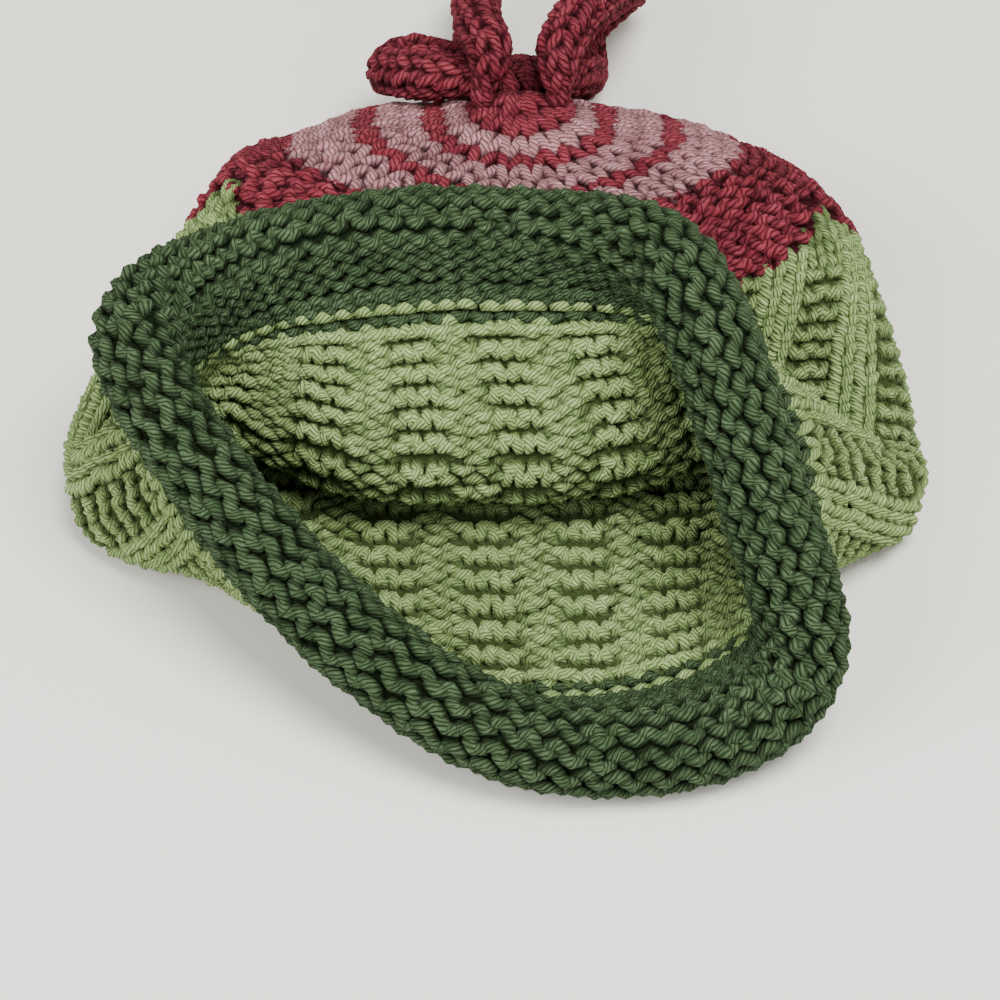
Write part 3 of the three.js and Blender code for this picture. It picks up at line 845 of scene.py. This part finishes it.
def loop_piece(name, feet, points):
    """Rounds of stitches on a tapering tube along the loop's axis, with a thin core inside it in painted
    shade.
    """
    turn = np.array(feet) / FOOT_COLUMNS
    foot, _ = on_wall(turn, np.full(2, FOOT_ALONG), np.full(2, WALL / 2))
    knee, _ = on_wall(turn, np.full(2, FOOT_ALONG), np.full(2, WALL / 2 + FOOT_RISE))
    path = np.vstack([foot[:1], knee[:1], np.array(points, float) - CENTRE, knee[1:], foot[1:]])
    axis, length = open_curve(path, CORD_SAMPLES)
    across, over = cord_frames(axis)
    sample = np.arange(CORD_SAMPLES)
    from_end = np.minimum(sample, sample[::-1]) * length / (CORD_SAMPLES - 1)
    grown = np.clip(from_end / CORD_TAPER, 0, 1)
    radius = CORD_FOOT_RADIUS + (CORD_RADIUS - CORD_FOOT_RADIUS) * grown**2 * (3 - 2 * grown)

    def on_cord(turn, along, height):
        """Point at a height above the yarn's usual place on the cord, and the outward direction there."""
        place = np.clip(along / length, 0, 1) * (CORD_SAMPLES - 1)
        low = np.minimum(place.astype(int), CORD_SAMPLES - 2)
        part = (place - low)[..., None]
        angle = 2 * np.pi * turn[..., None]
        first, second, centre, size = (field[low] * (1 - part) + field[low + 1] * part
                                       for field in (across, over, axis, radius[:, None]))
        out = first * np.cos(angle) + second * np.sin(angle)
        return centre + out * (size - CORD_YARN - CORD_SINK + height[..., None]), out

    rounds = int(length / CORD_ROW)
    parts = []
    for i in range(rounds):
        turn, along, height = loop_round(CORD_STITCHES, along=(i + 0.5) * length / rounds,
                                         rise=0.85 * CORD_ROW, depth=0.8, knit=1, lean=0.25)
        centre, out = on_cord(turn, along, height)
        parts.append((*tube_mesh(centre, out, height, CORD_YARN), 0))
    # the core takes the web material, so it is painted shade
    core_turn, core_along = np.meshgrid(np.arange(CORE_SIDES) / CORE_SIDES,
                                        np.linspace(0, length, rounds * 2))
    core, _ = on_cord(core_turn, core_along, np.full(core_turn.shape, -CORE_DEPTH))
    core[[0, -1]] = core[[0, -1]].mean(1, keepdims=True)
    index = np.arange(core.size // 3).reshape(core_turn.shape)
    beside = np.roll(index, -1, 1)
    faces = np.stack([index[:-1], beside[:-1], beside[1:], index[1:]], -1)
    parts.append((core.reshape(-1, 3), faces, np.zeros(faces.shape + (2,)), np.zeros(index.size), 1))
    add_piece(name + "_knit", "dark_red_yarn", [name], parts)
    return length


for name, feet, points in LOOPS:
    print(name, "cord length", round(loop_piece(name, feet, points), 1), "mm")

# %% [markdown]
# ## Loose fibres
#
# Wool has a halo: fibre ends that stand off the yarn by a millimetre or two. A hair system could grow them,
# but a few thousand plain spikes are lighter and stay in the mesh. Each spike is a thin closed pyramid that
# starts inside the yarn at a random corner of its mesh, leans along the surface and ends in a point. The
# table turns back those that would go through it.

# %% Fibres
FIBRES = {"dark_green_yarn": 11000, "light_green_yarn": 16000, "dark_red_yarn": 7000, "pink_yarn": 4000}
FIBRE_RADIUS = 0.035
FIBRE_LENGTH = (0.6, 2.2)                   # shortest and longest, millimetres
FIBRE_LEAN = (0.1, 0.9)                     # share out of the yarn beside one along it
FIBRE_UV = 9.0                              # fibres take their colour from anywhere on this much yarn


def unit(vectors):
    """The same directions with length one."""
    return vectors / np.linalg.norm(vectors, axis=-1, keepdims=True)


def fibre_part(places, out, count):
    """Pyramids: tip = foot + length * direction, where direction leans out of the yarn by a random share."""
    pick = chance.choice(len(places), count, replace=False)
    foot, out = places[pick], out[pick]
    across = unit(np.cross(out, chance.normal(size=(count, 3))))
    along = unit(across + out * chance.uniform(*FIBRE_LEAN, (count, 1)))
    second = np.cross(along, unit(np.cross(along, out)))
    first = np.cross(second, along)
    angle = np.arange(3)[:, None] * 2 * np.pi / 3
    base = foot[:, None] + FIBRE_RADIUS * (np.cos(angle) * first[:, None] + np.sin(angle) * second[:, None])
    tip = foot + along * chance.uniform(*FIBRE_LENGTH, (count, 1))
    corners = np.concatenate([base, tip[:, None]], 1)
    corners[..., 2] = np.abs(corners[..., 2])
    faces = 4 * np.arange(count)[:, None, None] + np.array([(0, 1, 3), (1, 2, 3), (2, 0, 3), (0, 2, 1)])
    uv = np.broadcast_to(chance.uniform(0, FIBRE_UV, (count, 1, 1, 2)), (count, 4, 3, 2))
    # fibres stand in the open and get none of the painted shade on deep yarn
    return corners.reshape(-1, 3), faces, uv, np.full(4 * count, CREVICE_SHADE_RANGE[1]), 0


def yarn_surface(slot):
    """All corners of one yarn's pieces, in millimetres, their outward directions and the solids' names."""
    places, out, nodes = [], [], []
    for piece, piece_slot, piece_nodes in pieces:
        if piece_slot != slot:
            continue
        flat = np.empty(len(piece.data.vertices) * 3, np.float32)
        piece.data.vertices.foreach_get("co", flat)
        places.append(flat.reshape(-1, 3) / MM)
        piece.data.vertex_normals.foreach_get("vector", flat)
        out.append(flat.reshape(-1, 3).copy())
        nodes += [node for node in piece_nodes if node not in nodes]
    return np.concatenate(places), np.concatenate(out), nodes


for slot, count in FIBRES.items():
    places, out, nodes = yarn_surface(slot)
    add_piece("fibres_" + slot, slot, nodes, [fibre_part(places, out, count)])
